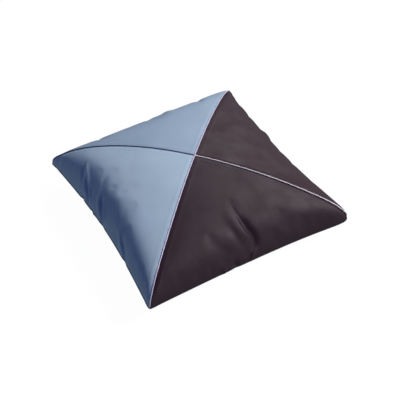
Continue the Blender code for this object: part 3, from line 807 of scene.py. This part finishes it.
class Nodes:
    """Short calls for building a material's nodes."""

    def __init__(self, name):
        self.material = bpy.data.materials.new(name)
        self.material.use_nodes = True
        self.tree = self.material.node_tree
        self.shader = self.tree.nodes["Principled BSDF"]

    def add(self, kind, **settings):
        """A new node."""
        node = self.tree.nodes.new(kind)
        for key, value in settings.items():
            setattr(node, key, value)
        return node

    def link(self, source, target):
        """Feed one socket into another."""
        self.tree.links.new(source, target)

    def math(self, operation, a, b=0.0):
        """The result of a sum whose terms are numbers or sockets."""
        node = self.add("ShaderNodeMath", operation=operation)
        for socket, value in zip(node.inputs, (a, b)):
            if isinstance(value, (int, float)):
                socket.default_value = value
            else:
                self.link(value, socket)
        return node.outputs[0]

    def noise(self, place, scale, detail):
        """Soft random patches over the cloth."""
        node = self.add("ShaderNodeTexNoise", noise_dimensions="2D")
        node.inputs["Scale"].default_value = scale
        node.inputs["Detail"].default_value = detail
        self.link(place, node.inputs["Vector"])
        return node.outputs["Fac"]


def cloth_material(name, look):
    """Fine woven cloth: threads in both directions, soft lustre and uneven dye."""
    nodes = Nodes(name)
    place = nodes.add("ShaderNodeUVMap", uv_map="cut").outputs["UV"]
    split = nodes.add("ShaderNodeSeparateXYZ")
    nodes.link(place, split.inputs[0])
    turns = 2 * np.pi / look.pitch
    warp = nodes.math("SINE", nodes.math("MULTIPLY", split.outputs[0], turns))
    weft = nodes.math("SINE", nodes.math("MULTIPLY", split.outputs[1], turns))
    weave = nodes.math("MULTIPLY", warp, weft)
    slubs = nodes.noise(place, SLUB_SCALE, 2)
    bump = nodes.add("ShaderNodeBump")
    bump.inputs["Strength"].default_value = WEAVE_STRENGTH
    bump.inputs["Distance"].default_value = WEAVE_DEPTH
    height = nodes.math("ADD", nodes.math("MULTIPLY", weave, WEAVE_SHARE), slubs)
    nodes.link(height, bump.inputs["Height"])
    nodes.link(bump.outputs["Normal"], nodes.shader.inputs["Normal"])
    patches = nodes.math("MULTIPLY", nodes.noise(place, DYE_SCALE, 3), DYE_SHARE)
    uneven = nodes.math("ADD", patches, nodes.math("MULTIPLY", slubs, 1 - DYE_SHARE))
    ramp = nodes.add("ShaderNodeValToRGB")
    shades = (1 - DYE_VARIATION, 1 + DYE_VARIATION)
    for end, position, shade in zip(ramp.color_ramp.elements, DYE_RANGE, shades):
        end.position = position
        end.color = (*[part * shade for part in look.colour], 1)
    nodes.link(uneven, ramp.inputs["Fac"])
    nodes.link(ramp.outputs["Color"], nodes.shader.inputs["Base Color"])
    rubbed = nodes.noise(place, WEAR_SCALE, 2)
    worn = nodes.math("MULTIPLY", nodes.math("SUBTRACT", rubbed, 0.5), WEAR)
    nodes.link(nodes.math("ADD", worn, look.roughness), nodes.shader.inputs["Roughness"])
    nodes.shader.inputs["Sheen Weight"].default_value = look.sheen
    nodes.shader.inputs["Sheen Roughness"].default_value = SHEEN_ROUGHNESS
    nodes.shader.inputs["Specular IOR Level"].default_value = look.shine
    nodes.shader.inputs["Anisotropic"].default_value = look.lustre
    grain = nodes.add("ShaderNodeTangent", direction_type="UV_MAP", uv_map="cut")
    nodes.link(grain.outputs["Tangent"], nodes.shader.inputs["Tangent"])
    return nodes.material


def camera_axes():
    """The camera's right, up and backward directions."""
    azimuth, elevation, roll = np.radians([CAMERA_AZIMUTH, CAMERA_ELEVATION, CAMERA_ROLL])
    back = Vector((
        np.sin(azimuth) * np.cos(elevation),
        -np.cos(azimuth) * np.cos(elevation),
        np.sin(elevation),
    ))
    level = Vector((np.cos(azimuth), np.sin(azimuth), 0))
    upright = back.cross(level)
    right = level * np.cos(roll) + upright * np.sin(roll)
    up = upright * np.cos(roll) - level * np.sin(roll)
    return right, up, back


def add_camera():
    """The camera, aimed at a point near the cushion's centre."""
    data = bpy.data.cameras.new("camera")
    data.angle = np.radians(CAMERA_ANGLE)
    camera = bpy.data.objects.new("camera", data)
    right, up, back = camera_axes()
    aim = Vector((0, 0, SEAM_HEIGHT)) + right * CAMERA_AIM_RIGHT + up * CAMERA_AIM_UP
    place = aim + back * CAMERA_DISTANCE
    camera.matrix_world = Matrix.Translation(place) @ Matrix((right, up, back)).transposed().to_4x4()
    bpy.context.scene.collection.objects.link(camera)
    bpy.context.scene.camera = camera


def add_light(light):
    """A square soft light that faces the cushion."""
    data = bpy.data.lights.new(light.name, "AREA")
    data.shape = "SQUARE"
    data.size = light.size
    data.energy = light.strength * np.pi ** 2 * LIGHT_DISTANCE ** 2
    turn, rise = np.radians([light.azimuth, light.elevation])
    toward = Vector((np.cos(rise) * np.cos(turn), np.cos(rise) * np.sin(turn), np.sin(rise)))
    lamp = bpy.data.objects.new(light.name, data)
    lamp.location = toward * LIGHT_DISTANCE
    lamp.rotation_euler = toward.to_track_quat("Z", "Y").to_euler()
    bpy.context.scene.collection.objects.link(lamp)


def add_floor():
    """A plain near-white floor that throws no light back on the cushion."""
    mesh = bpy.data.meshes.new("floor")
    corners = ((-1, -1), (1, -1), (1, 1), (-1, 1))
    mesh.from_pydata([(x * FLOOR_HALF, y * FLOOR_HALF, 0) for x, y in corners], [], [(0, 1, 2, 3)])
    floor = bpy.data.objects.new("floor", mesh)
    floor.location.z = -FLOOR_DROP
    nodes = Nodes("floor")
    nodes.shader.inputs["Base Color"].default_value = (FLOOR_GREY, FLOOR_GREY, FLOOR_GREY, 1)
    nodes.shader.inputs["Roughness"].default_value = 1.0
    nodes.shader.inputs["Specular IOR Level"].default_value = 0.0
    nodes.shader.inputs["Emission Color"].default_value = WHITE
    nodes.shader.inputs["Emission Strength"].default_value = FLOOR_WHITE
    mesh.materials.append(nodes.material)
    bpy.context.scene.collection.objects.link(floor)
    floor.visible_diffuse = False
    floor.visible_glossy = False


def add_studio():
    """The lights, the floor and the room's faint glow, which the camera sees as plain white."""
    scene = bpy.context.scene
    scene.view_settings.view_transform = "Standard"
    world = bpy.data.worlds.new("studio")
    world.use_nodes = True
    tree = world.node_tree
    toward = tree.nodes.new("ShaderNodeTexCoord")
    height = tree.nodes.new("ShaderNodeSeparateXYZ")
    tree.links.new(toward.outputs["Generated"], height.inputs[0])
    ramp = tree.nodes.new("ShaderNodeValToRGB")
    for end, position, glow in zip(ramp.color_ramp.elements, (0, ROOM_RISE), (FLOOR_GLOW, ROOM_GLOW)):
        end.position = position
        end.color = glow
    tree.links.new(height.outputs["Z"], ramp.inputs["Fac"])
    seen = tree.nodes.new("ShaderNodeLightPath")
    backdrop = tree.nodes.new("ShaderNodeMixRGB")
    tree.links.new(seen.outputs["Is Camera Ray"], backdrop.inputs["Fac"])
    tree.links.new(ramp.outputs["Color"], backdrop.inputs["Color1"])
    backdrop.inputs["Color2"].default_value = WHITE
    tree.links.new(backdrop.outputs["Color"], tree.nodes["Background"].inputs["Color"])
    tree.nodes["Background"].inputs["Strength"].default_value = 1.0
    scene.world = world
    for light in LIGHTS:
        add_light(light)
    add_floor()


def build():
    """The camera, the studio, the filled cushion, its panels and its cords."""
    add_camera()
    add_studio()
    materials = {name: cloth_material(name, look) for name, look in LOOKS.items()}
    cushion_form(materials["back_cloth"])
    for quarter, panel in enumerate(PANELS):
        front_panel(panel, quarter, materials[panel.look])
    for cord in CORDS:
        piping(cord, materials[cord.slot])


build()
